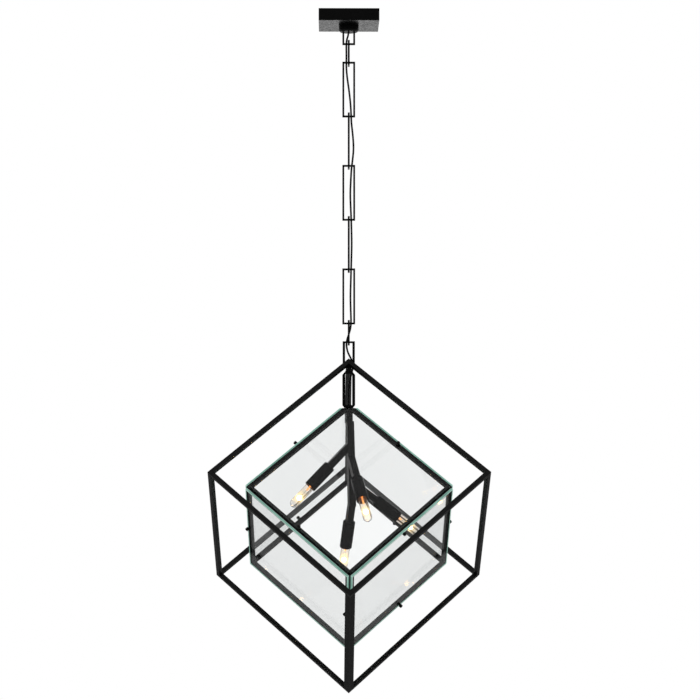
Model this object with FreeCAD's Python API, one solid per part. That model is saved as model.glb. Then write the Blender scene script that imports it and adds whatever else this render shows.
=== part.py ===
import FreeCAD, Part

import math
import os

# Hanging lantern: a glazed cube inside an open cube frame, both hung by one corner
# from a chain of rectangular links, with four tubular lamps on a branching stem.
# Millimetres, +Z up, origin at the ceiling face of the canopy, on the hanging axis.

# Driving dimensions.
CANOPY_SIDE = 127.0
CANOPY_HEIGHT = 25.4
CANOPY_WALL = 1.5
CANOPY_HOLE_R = 15.6
COLLAR_R = 21.0
COLLAR_HEIGHT = 13.0
COLLAR_CHAMFER = 3.0
THREAD_R = 14.9
THREAD_GAP = 0.05
WIREWAY_R = 3.0
STUD_ABOVE_COLLAR = 8.0
LOOP_ROOT = 3.0
# How far a cutting tool runs past the face that it opens.
PAST = 1.0
# How near a point counts as on an edge.
NEAR = 0.1

CROSSBAR_LENGTH = 108.0
CROSSBAR_WIDTH = 20.0
CROSSBAR_THICK = 2.5
BOX_SCREW_SPACING = 88.9
BOX_SLOT_LENGTH = 12.0
BOX_SLOT_R = 2.4
NIPPLE_R = 5.1
NIPPLE_LOW = -24.4
LOCK_NUT_FLATS = 16.0
LOCK_NUT_HEIGHT = 3.0
LOWER_NUT_LOW = -13.9
GROUND_SCREW_X = 20.0
GROUND_SCREW_R = 1.9
GROUND_HEAD_R = 3.8
GROUND_HEAD_HEIGHT = 2.2
WIRE_NUT_PLACES = ((-30.0, 26.0), (0.0, 34.0), (30.0, 26.0))
WIRE_NUT_LOW = -21.5
WIRE_NUT_HEIGHT = 15.0
WIRE_NUT_FLOOR = 6.0
WIRE_NUT_LOW_R = 4.4
WIRE_NUT_TOP_R = 5.8
WIRE_NUT_BORE_R = 3.6
LEAD_R = 1.4
LEAD_OFFSET = 1.6

LINK_WIDTH = 27.0
LINK_BAR = 4.0
LINK_LONG = 118.4
LINK_SHORT = 53.0
LINK_GAP = 0.7
CANOPY_LOOP_BOTTOM = -66.0
LONG_LINKS = (2, 3, 4, 5, 6)
LINK_COUNT = 7

OUTER_SIDE = 406.4
INNER_SIDE = 298.0
BAR = 9.5
ANGLE_LEG = 14.3
ANGLE_THICK = 3.0
APEX_BELOW_LOOP = 35.7
TOP_LOOP_WIDTH = 25.8
TOP_LOOP_LEG = 5.2
TOP_LOOP_DEPTH = 5.0
TOP_LOOP_REACH = 20.0
INNER_TOP_CUT = 11.2

HANGER_WIDTH = 27.0
HANGER_HEIGHT = 78.5
HANGER_LEG = 6.3
HANGER_DEPTH = 10.0
HANGER_TOP_CHAMFER = (7.0, 8.5)
HANGER_LOW_CHAMFER = (4.5, 5.7)
STUB_BELOW_APEX = 6.0
CORD_BORE_DEPTH = 20.0

GLASS_THICK = 5.0
GLASS_SETBACK = 2.2
KNOB_HEAD_R = 3.7
KNOB_HEAD_HEIGHT = 6.0
KNOB_SHANK_R = 1.7
KNOB_SHANK_DEPTH = 6.0
KNOB_HOLE_GAP = 0.05
GLASS_HOLE_R = 2.3

STEM_TOP_WIDTH = 14.0
STEM_WIDTH = 15.0
ARM_WIDTH = 14.5
TUBE_WALL = 1.5
STEM_LAP = 4.0
# Azimuth, dip below level, height on the stem and length of each lamp arm.
ARMS = (
    (196.0, 45.0, -912.5, 64.0),
    (286.0, 45.0, -940.0, 61.0),
    (16.0, 36.6, -990.5, 67.0),
    (106.0, 64.4, -1036.0, 44.0),
)
STEM_KNEES = ((2.0, 0.0, -864.0), (4.5, 0.0, -945.0), (6.5, 5.0, -1036.0))

CUP_R = 13.0
CUP_LENGTH = 61.0
CUP_WALL = 1.2
CUP_FLOOR = 2.0
CUP_CHAMFER = 1.5
INSERT_R = 11.0
INSERT_START = 3.0
INSERT_LENGTH = 43.0
INSERT_FLOOR = 4.0
LAMP_SEAT_GAP = 1.0
LAMP_BASE_R = 5.9
LAMP_BASE_LENGTH = 17.0
LAMP_SOCKET_GAP = 0.15
LAMP_CONTACT_R = 3.2
LAMP_CONTACT_LENGTH = 2.0
LAMP_CONTACT_TIP = 0.6
LAMP_RIM = 1.0
LAMP_NECK_STEP = 0.4
LAMP_SHOULDER = 6.0
LAMP_GLASS_R = 9.5
LAMP_TIP = 118.0
LAMP_GLASS_WALL = 0.7

CORD_R = 2.0
CORD_SLAB = 40.0
CORD_END_ROOM = 5.0
BEND_SHARE = 0.45
# The cord's route: out of the canopy loop, threaded down the chain from side to side,
# behind the outer frame's top corner, through the hanger and into the stem.
CORD_ROUTE = (
    (0.0, 0.0, -34.0), (-0.5, -0.7, -44.0), (-4.6, -4.8, -56.0), (-5.3, -5.5, -70.0),
    (-4.9, -5.7, -90.0), (-5.4, -5.3, -112.0), (-3.7, -3.6, -134.0), (0.6, 0.4, -162.0),
    (4.0, 3.9, -192.0), (5.2, 5.5, -216.0), (5.7, 5.2, -232.0), (8.6, 3.0, -256.0),
    (10.6, -0.5, -286.0), (8.0, -4.0, -312.0), (5.4, -5.5, -332.0), (4.4, -4.6, -352.0),
    (3.0, 0.4, -382.0), (4.2, 4.6, -412.0), (5.3, 5.5, -436.0), (5.9, 4.2, -460.0),
    (6.4, -0.4, -490.0), (5.6, -4.7, -520.0), (4.9, -5.5, -545.0), (4.2, -4.3, -570.0),
    (3.4, 0.3, -600.0), (4.2, 4.5, -630.0), (5.1, 5.4, -652.0), (4.0, 5.2, -667.0),
    (0.0, 5.0, -680.0), (-4.1, 5.1, -692.0), (-5.0, 5.5, -704.0), (-2.0, 6.4, -718.0),
    (4.6, 7.8, -730.0), (9.9, 7.5, -744.0), (7.4, 8.5, -758.0), (1.8, 6.2, -777.0),
    (-0.4, 1.2, -799.0), (0.1, -0.1, -820.0), (0.0, 0.0, -848.0),
)

# Directions of the cube edges that leave the top corner.
RIGHT = FreeCAD.Vector(1 / math.sqrt(2), -1 / math.sqrt(6), -1 / math.sqrt(3))
LEFT = FreeCAD.Vector(-1 / math.sqrt(2), -1 / math.sqrt(6), -1 / math.sqrt(3))
BACK = FreeCAD.Vector(0, 2 / math.sqrt(6), -1 / math.sqrt(3))
UP = FreeCAD.Vector(0, 0, 1)


def vec(x, y, z):
    return FreeCAD.Vector(x, y, z)


def block(x_range, y_range, z_range):
    """A box from its lowest to its highest coordinates."""
    size = [high - low for low, high in (x_range, y_range, z_range)]
    return Part.makeBox(*size, vec(x_range[0], y_range[0], z_range[0]))


def rod(radius, start, direction, length):
    return Part.makeCylinder(radius, length, start, direction)


def face_outline(points, plane):
    """A closed outline in the XZ or YZ plane from (across, height) pairs."""
    if plane == "XZ":
        corners = [vec(across, 0, height) for across, height in points]
    else:
        corners = [vec(0, across, height) for across, height in points]
    return Part.Face(Part.makePolygon(corners + corners[:1]))


def flat_ring(outer, inner, plane, depth):
    """A flat ring between two outlines, centred on its plane."""
    normal = vec(0, 1, 0) if plane == "XZ" else vec(1, 0, 0)
    ring = face_outline(outer, plane).cut(face_outline(inner, plane))
    solid = ring.extrude(normal * depth)
    solid.translate(normal * (-depth / 2))
    return solid.Solids[0]


def window(width, bottom, top):
    half = width / 2
    return [(-half, bottom), (half, bottom), (half, top), (-half, top)]


# Heights down the chain.
def chain_heights():
    """Top and bottom of each link, hung one in the other below the canopy loop."""
    heights = []
    support = CANOPY_LOOP_BOTTOM
    for number in range(1, LINK_COUNT + 1):
        top = support + 2 * LINK_BAR + LINK_GAP
        length = LINK_LONG if number in LONG_LINKS else LINK_SHORT
        heights.append((top, top - length))
        support = top - length
    return heights


LINK_HEIGHTS = chain_heights()
TOP_LOOP_TOP = LINK_HEIGHTS[-1][1] + 2 * LINK_BAR + LINK_GAP
OUTER_APEX_Z = TOP_LOOP_TOP - APEX_BELOW_LOOP
CUBE_CENTRE_Z = OUTER_APEX_Z - OUTER_SIDE * math.sqrt(3) / 2
INNER_APEX_Z = CUBE_CENTRE_Z + INNER_SIDE * math.sqrt(3) / 2
CUT_Z = INNER_APEX_Z - INNER_TOP_CUT
OUTER_APEX = vec(0, 0, OUTER_APEX_Z)
INNER_APEX = vec(0, 0, INNER_APEX_Z)


# Canopy and what it hides.
def canopy_cover():
    half = CANOPY_SIDE / 2
    inside = half - CANOPY_WALL
    shell = block((-half, half), (-half, half), (-CANOPY_HEIGHT, 0))
    hollow = block((-inside, inside), (-inside, inside), (-CANOPY_HEIGHT + CANOPY_WALL, PAST))
    hole = rod(CANOPY_HOLE_R, vec(0, 0, -CANOPY_HEIGHT - PAST), UP, CANOPY_HEIGHT)
    return shell.cut(hollow).cut(hole)


def collar_ring():
    low = -CANOPY_HEIGHT - COLLAR_HEIGHT
    ring = rod(COLLAR_R, vec(0, 0, low), UP, COLLAR_HEIGHT)
    lower_rim = [edge for edge in ring.Edges if edge.BoundBox.ZMax < low + NEAR]
    ring = ring.makeChamfer(COLLAR_CHAMFER, lower_rim)
    return ring.cut(rod(THREAD_R + THREAD_GAP, vec(0, 0, low - PAST), UP, COLLAR_HEIGHT + 2 * PAST))


def canopy_loop():
    """Round threaded stud with a rectangular loop under it, drilled for the cord."""
    stud_low = -CANOPY_HEIGHT - COLLAR_HEIGHT
    stud = rod(THREAD_R, vec(0, 0, stud_low), UP, COLLAR_HEIGHT + STUD_ABOVE_COLLAR)
    outer = window(LINK_WIDTH, CANOPY_LOOP_BOTTOM, stud_low + LOOP_ROOT)
    inner = window(LINK_WIDTH - 2 * LINK_BAR, CANOPY_LOOP_BOTTOM + LINK_BAR, stud_low)
    loop = flat_ring(outer, inner, "XZ", LINK_BAR)
    bore = rod(WIREWAY_R, vec(0, 0, stud_low - PAST / 2), UP, COLLAR_HEIGHT + STUD_ABOVE_COLLAR + PAST)
    socket = rod(NIPPLE_R + THREAD_GAP, vec(0, 0, stud_low + COLLAR_HEIGHT), UP, STUD_ABOVE_COLLAR + PAST)
    return stud.fuse(loop).cut(bore).cut(socket).removeSplitter()


def mounting_crossbar():
    bar = block((-CROSSBAR_LENGTH / 2, CROSSBAR_LENGTH / 2), (-CROSSBAR_WIDTH / 2, CROSSBAR_WIDTH / 2),
                (-CROSSBAR_THICK, 0))
    low = -CROSSBAR_THICK - PAST
    depth = CROSSBAR_THICK + 2 * PAST
    bar = bar.cut(rod(NIPPLE_R + THREAD_GAP, vec(0, 0, low), UP, depth))
    reach = BOX_SLOT_LENGTH / 2 - BOX_SLOT_R
    for side in (-1, 1):
        middle = side * BOX_SCREW_SPACING / 2
        slot = block((middle - reach, middle + reach), (-BOX_SLOT_R, BOX_SLOT_R), (low, PAST))
        for end in (middle - reach, middle + reach):
            slot = slot.fuse(rod(BOX_SLOT_R, vec(end, 0, low), UP, depth))
        bar = bar.cut(slot)
    return bar.cut(rod(GROUND_SCREW_R + THREAD_GAP, vec(GROUND_SCREW_X, 0, low), UP, depth))


def threaded_nipple():
    tube = rod(NIPPLE_R, vec(0, 0, NIPPLE_LOW), UP, -NIPPLE_LOW)
    return tube.cut(rod(WIREWAY_R, vec(0, 0, NIPPLE_LOW - PAST), UP, -NIPPLE_LOW + 2 * PAST))


def lock_nut(low):
    """A thin hexagon nut on the nipple, with its lower face at a height."""
    corner = LOCK_NUT_FLATS / math.sqrt(3)
    angles = [math.radians(60 * k) for k in range(6)]
    ring = [vec(corner * math.cos(angle), corner * math.sin(angle), low) for angle in angles]
    nut = Part.Face(Part.makePolygon(ring + ring[:1])).extrude(UP * LOCK_NUT_HEIGHT)
    return nut.cut(rod(NIPPLE_R + THREAD_GAP, vec(0, 0, low - PAST), UP, LOCK_NUT_HEIGHT + 2 * PAST))


def nipple_lock_nuts():
    return [lock_nut(-CROSSBAR_THICK - LOCK_NUT_HEIGHT), lock_nut(LOWER_NUT_LOW)]


def ground_screw():
    under_head = vec(GROUND_SCREW_X, 0, -CROSSBAR_THICK)
    head = rod(GROUND_HEAD_R, under_head, UP * -1, GROUND_HEAD_HEIGHT)
    return head.fuse(rod(GROUND_SCREW_R, under_head, UP, CROSSBAR_THICK))


def wire_connectors():
    """Three twist-on connectors, closed at the bottom and open at the top for the wires."""
    nuts = []
    for x, y in WIRE_NUT_PLACES:
        body = Part.makeCone(WIRE_NUT_LOW_R, WIRE_NUT_TOP_R, WIRE_NUT_HEIGHT, vec(x, y, WIRE_NUT_LOW), UP)
        hollow = rod(WIRE_NUT_BORE_R, vec(x, y, WIRE_NUT_LOW + WIRE_NUT_FLOOR), UP, WIRE_NUT_HEIGHT)
        nuts.append(body.cut(hollow))
    return nuts


def supply_leads():
    """The insulated house wires that reach the connectors from the outlet box."""
    leads = []
    low = WIRE_NUT_LOW + WIRE_NUT_FLOOR + PAST
    for x, y in WIRE_NUT_PLACES:
        for side in (-1, 1):
            leads.append(rod(LEAD_R, vec(x + side * LEAD_OFFSET, y, low), UP, -low))
    return leads


# Chain.
def chain_link(number):
    top, bottom = LINK_HEIGHTS[number - 1]
    plane = "YZ" if number % 2 else "XZ"
    outer = window(LINK_WIDTH, bottom, top)
    inner = window(LINK_WIDTH - 2 * LINK_BAR, bottom + LINK_BAR, top - LINK_BAR)
    return flat_ring(outer, inner, plane, LINK_BAR)


# Cube frames. Each range is measured from the top corner along RIGHT, LEFT and BACK.
def skew_block(apex, right, left, back):
    shape = block(right, left, back)
    shape.transformShape(FreeCAD.Matrix(
        RIGHT.x, LEFT.x, BACK.x, apex.x,
        RIGHT.y, LEFT.y, BACK.y, apex.y,
        RIGHT.z, LEFT.z, BACK.z, apex.z,
        0, 0, 0, 1))
    return shape


def skew_point(apex, right, left, back):
    return apex + RIGHT * right + LEFT * left + BACK * back


def frame_bars(apex, side):
    """Twelve square bars; the four along BACK run the full length, the rest butt on them."""
    near = (0, BAR)
    far = (side - BAR, side)
    whole = (0, side)
    between = (BAR, side - BAR)
    bars = {
        "top_back": skew_block(apex, near, near, whole),
        "side_left": skew_block(apex, near, far, whole),
        "side_right": skew_block(apex, far, near, whole),
        "bottom_front": angle_bar(apex, side),
        "top_right": skew_block(apex, between, near, near),
        "front_left": skew_block(apex, between, far, near),
        "back_right": skew_block(apex, between, near, far),
        "bottom_left": skew_block(apex, between, far, far),
        "top_left": skew_block(apex, near, between, near),
        "front_right": skew_block(apex, far, between, near),
        "back_left": skew_block(apex, near, between, far),
        "bottom_right": skew_block(apex, far, between, far),
    }
    return bars


def angle_bar(apex, side):
    """The bottom front bar is an angle section with its corner outwards and square ends."""
    far = (side - BAR, side)
    leg = (side - ANGLE_LEG, side)
    skin = (side - ANGLE_THICK, side)
    between = (BAR, side - BAR)
    bar = skew_block(apex, leg, skin, between).fuse(skew_block(apex, skin, leg, between))
    for end in ((0, BAR), (side - BAR, side)):
        bar = bar.fuse(skew_block(apex, far, far, end))
    return bar.removeSplitter()


def knob_places():
    """Point on the inner cube's face and outward direction of the twelve glass knobs."""
    edge = (BAR / 2, INNER_SIDE - BAR / 2)
    middle = INNER_SIDE / 2
    places = []
    for level, sign in ((0, -1), (INNER_SIDE, 1)):
        for offset in edge:
            places.append((skew_point(INNER_APEX, middle, offset, level), BACK * sign))
            places.append((skew_point(INNER_APEX, level, middle, offset), RIGHT * sign))
            places.append((skew_point(INNER_APEX, offset, level, middle), LEFT * sign))
    return places


def glass_knobs():
    """Round thumb screws through the panes into the frame bars."""
    knobs = []
    for point, outward in knob_places():
        seat = point + outward * GLASS_THICK
        head = rod(KNOB_HEAD_R, seat, outward, KNOB_HEAD_HEIGHT)
        shank_length = GLASS_THICK + KNOB_SHANK_DEPTH
        knobs.append(head.fuse(rod(KNOB_SHANK_R, seat, outward * -1, shank_length)))
    return knobs


def knob_drills(radius):
    """Cylinders that open the panes and the bars for the knobs' shanks."""
    drills = []
    for point, outward in knob_places():
        start = point + outward * (GLASS_THICK + PAST)
        length = GLASS_THICK + KNOB_SHANK_DEPTH + 1.5 * PAST
        drills.append(rod(radius, start, outward * -1, length))
    return Part.makeCompound(drills)


def above_cut():
    reach = INNER_SIDE
    return block((-reach, reach), (-reach, reach), (CUT_Z, CUT_Z + reach))


def cord_bore():
    """The hole for the cord from the hanger's lower bar into the stem."""
    return rod(WIREWAY_R, vec(0, 0, CUT_Z - CORD_BORE_DEPTH), UP, CORD_BORE_DEPTH + HANGER_LEG + PAST)


def inner_frame_bars():
    """The inner frame with its top corner sawn level, drilled for knobs and cord."""
    drills = knob_drills(KNOB_SHANK_R + KNOB_HOLE_GAP)
    bars = {}
    for name, bar in frame_bars(INNER_APEX, INNER_SIDE).items():
        bars[name] = bar.cut(drills)
        if name.startswith("top"):
            bars[name] = bars[name].cut(above_cut()).cut(cord_bore())
    return bars


def glass_panes():
    """Six square panes on the outside of the inner frame, set back from its edges."""
    span = (GLASS_SETBACK, INNER_SIDE - GLASS_SETBACK)
    near = (-GLASS_THICK, 0)
    far = (INNER_SIDE, INNER_SIDE + GLASS_THICK)
    places = {
        "glass_front_upper": (span, span, near),
        "glass_back_lower": (span, span, far),
        "glass_left_upper": (near, span, span),
        "glass_right_lower": (far, span, span),
        "glass_right_upper": (span, near, span),
        "glass_left_lower": (span, far, span),
    }
    drills = knob_drills(GLASS_HOLE_R)
    panes = {}
    for name, ranges in places.items():
        panes[name] = skew_block(INNER_APEX, *ranges).cut(drills).cut(above_cut())
    return panes


# Loops that carry the cubes.
def cage_top_loop(outer_bars):
    """The loop that is welded over the outer frame's top corner."""
    foot = OUTER_APEX_Z - TOP_LOOP_REACH
    outer = window(TOP_LOOP_WIDTH, foot, TOP_LOOP_TOP)
    inner = window(TOP_LOOP_WIDTH - 2 * TOP_LOOP_LEG, foot - PAST, TOP_LOOP_TOP - LINK_BAR)
    profile = face_outline(outer, "XZ").cut(face_outline(inner, "XZ"))
    loop = profile.extrude(vec(0, TOP_LOOP_DEPTH, 0))
    loop.translate(vec(0, -TOP_LOOP_DEPTH / 2, 0))
    loop = loop.cut(outer_bars)
    return max(loop.Solids, key=lambda solid: solid.BoundBox.ZMax)


def chamfered_outline(width, bottom, top, low_chamfer, top_chamfer):
    half = width / 2
    return [(-half + low_chamfer[0], bottom), (half - low_chamfer[0], bottom),
            (half, bottom + low_chamfer[1]), (half, top - top_chamfer[1]),
            (half - top_chamfer[0], top), (-half + top_chamfer[0], top),
            (-half, top - top_chamfer[1]), (-half, bottom + low_chamfer[1])]


def inner_cage_hanger(outer_bars):
    """Loop with chamfered shoulders between the two cubes, and the stub it is welded to."""
    top = CUT_Z + HANGER_HEIGHT
    outer = chamfered_outline(HANGER_WIDTH, CUT_Z, top, HANGER_LOW_CHAMFER, HANGER_TOP_CHAMFER)
    inner = window(HANGER_WIDTH - 2 * HANGER_LEG, CUT_Z + HANGER_LEG, top - HANGER_LEG)
    loop = flat_ring(outer, inner, "XZ", HANGER_DEPTH)
    half = BAR / 2
    stub = block((-half, half), (-half, half), (top - PAST, OUTER_APEX_Z - STUB_BELOW_APEX)).cut(outer_bars)
    stub = min(stub.Solids, key=lambda solid: solid.BoundBox.ZMin)
    return loop.fuse(stub).cut(cord_bore()).removeSplitter()


# Lamp stem, arms and lamps.
def square_rod(start, end, width, sideways):
    """Square bar between two points, with one pair of faces across sideways."""
    along = end - start
    length = along.Length
    along.normalize()
    across = sideways - along * sideways.dot(along)
    across.normalize()
    third = along.cross(across)
    half = width / 2
    corners = []
    for side, level in ((-1, -1), (1, -1), (1, 1), (-1, 1)):
        corners.append(start + across * (side * half) + third * (level * half))
    return Part.Face(Part.makePolygon(corners + corners[:1])).extrude(along * length)


def arm_direction(azimuth, dip):
    level = math.cos(math.radians(dip))
    return vec(level * math.cos(math.radians(azimuth)), level * math.sin(math.radians(azimuth)),
               -math.sin(math.radians(dip)))


def stem_point(z):
    """The point of the stem's centre line at a height."""
    knees = [vec(*knee) for knee in STEM_KNEES]
    for upper, lower in zip(knees, knees[1:]):
        if z >= lower.z:
            share = (upper.z - z) / (upper.z - lower.z)
            return upper + (lower - upper) * share
    return knees[-1]


def arm_ends(number):
    """Start on the stem, direction, and end of an arm where its cup begins."""
    azimuth, dip, height, length = ARMS[number - 1]
    start = stem_point(height)
    direction = arm_direction(azimuth, dip)
    return start, direction, start + direction * length


def stem_envelope(width_change):
    """The stem's outside, or its inside when the width change is negative."""
    sideways = arm_direction(ARMS[0][0] + 90, 0)
    knees = [vec(*knee) for knee in STEM_KNEES]
    top_width = STEM_TOP_WIDTH + width_change
    width = STEM_WIDTH + width_change
    shape = square_rod(vec(0, 0, CUT_Z - PAST), vec(0, 0, knees[0].z - STEM_LAP), top_width, sideways)
    for upper, lower in zip(knees, knees[1:]):
        shape = shape.fuse(square_rod(upper, lower, width, sideways))
    cap = width / 2
    bend = knees[-1]
    return shape.fuse(square_rod(bend + UP * cap, bend - UP * cap, width, sideways))


def lamp_stem(inner_bars_and_glass):
    """Square tube, cut to sit in the inner frame's top corner, open for the arms' wires."""
    tube = stem_envelope(0).cut(stem_envelope(-2 * TUBE_WALL))
    for number in range(1, len(ARMS) + 1):
        start, direction, end = arm_ends(number)
        tube = tube.cut(rod(WIREWAY_R, start, direction, STEM_WIDTH))
    tube = tube.cut(inner_bars_and_glass)
    return max(tube.Solids, key=lambda solid: solid.Volume)


def lamp_arm(number):
    start, direction, end = arm_ends(number)
    sideways = direction.cross(UP)
    outside = square_rod(start, end, ARM_WIDTH, sideways)
    inside = square_rod(start, end, ARM_WIDTH - 2 * TUBE_WALL, sideways)
    arm = outside.cut(inside).cut(stem_envelope(0))
    return max(arm.Solids, key=lambda solid: solid.Volume)


def socket_cup(number):
    start, direction, end = arm_ends(number)
    cup = rod(CUP_R, end, direction, CUP_LENGTH)
    shoulder = [edge for edge in cup.Edges if edge.Closed and (edge.CenterOfMass - end).Length < NEAR]
    cup = cup.makeChamfer(CUP_CHAMFER, shoulder)
    cup = cup.cut(rod(CUP_R - CUP_WALL, end + direction * CUP_FLOOR, direction, CUP_LENGTH))
    return cup.cut(rod(WIREWAY_R, end - direction * PAST, direction, CUP_FLOOR + 2 * PAST))


def socket_insert(number):
    """Moulded candelabra socket, bored for the lamp's base."""
    start, direction, end = arm_ends(number)
    top = end + direction * INSERT_START
    mouth = INSERT_START + INSERT_LENGTH
    body = rod(INSERT_R, top, direction, INSERT_LENGTH)
    bore_start = mouth - LAMP_BASE_LENGTH - LAMP_CONTACT_LENGTH - LAMP_SEAT_GAP
    bore = rod(LAMP_BASE_R + LAMP_SOCKET_GAP, end + direction * bore_start, direction, INSERT_LENGTH)
    wire_hole = rod(WIREWAY_R, end, direction, bore_start - INSERT_FLOOR)
    return body.cut(bore).cut(wire_hole)


def lamp_base(number):
    start, direction, end = arm_ends(number)
    mouth = end + direction * (INSERT_START + INSERT_LENGTH)
    shell = rod(LAMP_BASE_R, mouth - direction * LAMP_BASE_LENGTH, direction, LAMP_BASE_LENGTH + LAMP_RIM)
    tip = mouth - direction * (LAMP_BASE_LENGTH + LAMP_CONTACT_LENGTH)
    tip_r = LAMP_CONTACT_R * LAMP_CONTACT_TIP
    contact = Part.makeCone(tip_r, LAMP_CONTACT_R, LAMP_CONTACT_LENGTH, tip, direction)
    return shell.fuse(contact).removeSplitter()


def lamp_profile(shrink):
    """Half outline of a tubular lamp envelope from neck to round tip, along +Z."""
    neck = INSERT_START + INSERT_LENGTH + LAMP_RIM + shrink
    shoulder = neck + LAMP_SHOULDER
    radius = LAMP_GLASS_R - shrink
    neck_radius = LAMP_BASE_R - LAMP_NECK_STEP - shrink
    dome = LAMP_TIP - LAMP_GLASS_R
    top = vec(0, 0, LAMP_TIP - shrink)
    side = vec(radius, 0, dome)
    between = vec(radius * math.sin(math.pi / 4), 0, dome + radius * math.cos(math.pi / 4))
    edges = [
        Part.makeLine(vec(0, 0, neck), vec(neck_radius, 0, neck)),
        Part.makeLine(vec(neck_radius, 0, neck), vec(radius, 0, shoulder)),
        Part.makeLine(vec(radius, 0, shoulder), side),
        Part.Arc(side, between, top).toShape(),
        Part.makeLine(top, vec(0, 0, neck)),
    ]
    return Part.Face(Part.Wire(edges)).revolve(vec(0, 0, 0), UP, 360)


def lamp_glass(number):
    start, direction, end = arm_ends(number)
    lamp = lamp_profile(0).cut(lamp_profile(LAMP_GLASS_WALL))
    turn = FreeCAD.Rotation(UP, direction)
    lamp.Placement = FreeCAD.Placement(end, turn)
    return lamp


# Cord.
def cord_path():
    """Straight runs joined by tangent arcs, each arc as large as its two runs allow."""
    points = [vec(*point) for point in CORD_ROUTE]
    edges = []
    radii = []
    last = points[0]
    for before, corner, after in zip(points, points[1:], points[2:]):
        back = before - corner
        ahead = after - corner
        reach = BEND_SHARE * min(back.Length, ahead.Length)
        turn = math.pi - back.getAngle(ahead)
        radii.append(reach / math.tan(turn / 2))
        back.normalize()
        ahead.normalize()
        arc_start = corner + back * reach
        arc_end = corner + ahead * reach
        bisector = back + ahead
        bisector.normalize()
        sagitta = radii[-1] * (1 / math.cos(turn / 2) - 1)
        edges.append(Part.makeLine(last, arc_start))
        edges.append(Part.Arc(arc_start, corner + bisector * sagitta, arc_end).toShape())
        last = arc_end
    edges.append(Part.makeLine(last, points[-1]))
    return Part.Wire(edges), radii


def cord_runs():
    """The cord's tube, divided at the middle of every link that it passes."""
    path, radii = cord_path()
    start = vec(*CORD_ROUTE[0])
    direction = vec(*CORD_ROUTE[1]) - start
    section = Part.Wire(Part.makeCircle(CORD_R, start, direction))
    tube = path.makePipeShell([section], True, False)
    print("cord length", round(path.Length, 1), "smallest bend", round(min(radii), 1))
    print("cord volume over section times length", tube.Volume / (math.pi * CORD_R ** 2 * path.Length))
    cuts = [CORD_ROUTE[0][2] + CORD_END_ROOM]
    cuts += [(top + bottom) / 2 for top, bottom in LINK_HEIGHTS]
    cuts.append(CORD_ROUTE[-1][2] - CORD_END_ROOM)
    runs = {}
    for number, (high, low) in enumerate(zip(cuts, cuts[1:]), 1):
        slab = block((-CORD_SLAB, CORD_SLAB), (-CORD_SLAB, CORD_SLAB), (low, high))
        runs["cord_run_%d" % number] = tube.common(slab)
    return runs


def grouped(shapes):
    return Part.makeCompound(shapes)


def build():
    outer = frame_bars(OUTER_APEX, OUTER_SIDE)
    inner = inner_frame_bars()
    outer_body = grouped(list(outer.values()))
    inner_body = grouped(list(inner.values()))
    nodes = {
        "canopy_cover": canopy_cover(),
        "collar_ring": collar_ring(),
        "canopy_loop": canopy_loop(),
        "mounting_crossbar": mounting_crossbar(),
        "threaded_nipple": threaded_nipple(),
        "nipple_lock_nuts": grouped(nipple_lock_nuts()),
        "ground_screw": ground_screw(),
        "wire_connectors": grouped(wire_connectors()),
        "supply_leads": grouped(supply_leads()),
    }
    for number in range(1, LINK_COUNT + 1):
        nodes["chain_link_%d" % number] = chain_link(number)
    nodes["cage_top_loop"] = cage_top_loop(outer_body)
    for name, bar in outer.items():
        nodes["outer_bar_" + name] = bar
    nodes["inner_cage_hanger"] = inner_cage_hanger(outer_body)
    for band in ("top", "bottom"):
        nodes["inner_bars_" + band] = grouped([bar for name, bar in inner.items() if name.startswith(band)])
    waist = [bar for name, bar in inner.items() if not name.startswith(("top", "bottom"))]
    nodes["inner_bars_waist"] = grouped(waist)
    panes = glass_panes()
    nodes.update(panes)
    nodes["glass_knobs"] = grouped(glass_knobs())
    nodes["lamp_stem"] = lamp_stem(grouped([inner_body] + list(panes.values())))
    numbers = range(1, len(ARMS) + 1)
    nodes["lamp_arms"] = grouped([lamp_arm(number) for number in numbers])
    nodes["socket_cups"] = grouped([socket_cup(number) for number in numbers])
    nodes["socket_inserts"] = grouped([socket_insert(number) for number in numbers])
    for number in numbers:
        nodes["lamp_base_%d" % number] = lamp_base(number)
        nodes["lamp_glass_%d" % number] = lamp_glass(number)
    nodes.update(cord_runs())
    return nodes


os.makedirs("parts", exist_ok=True)
for node, shape in build().items():
    shape.exportStep("parts/%s.step" % node)
    print(node, len(shape.Solids), "solids", round(shape.Volume / 1000, 2), "cm3", shape.isValid())
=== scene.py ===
import bpy
import bmesh
import math
from mathutils import Matrix, Vector


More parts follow.
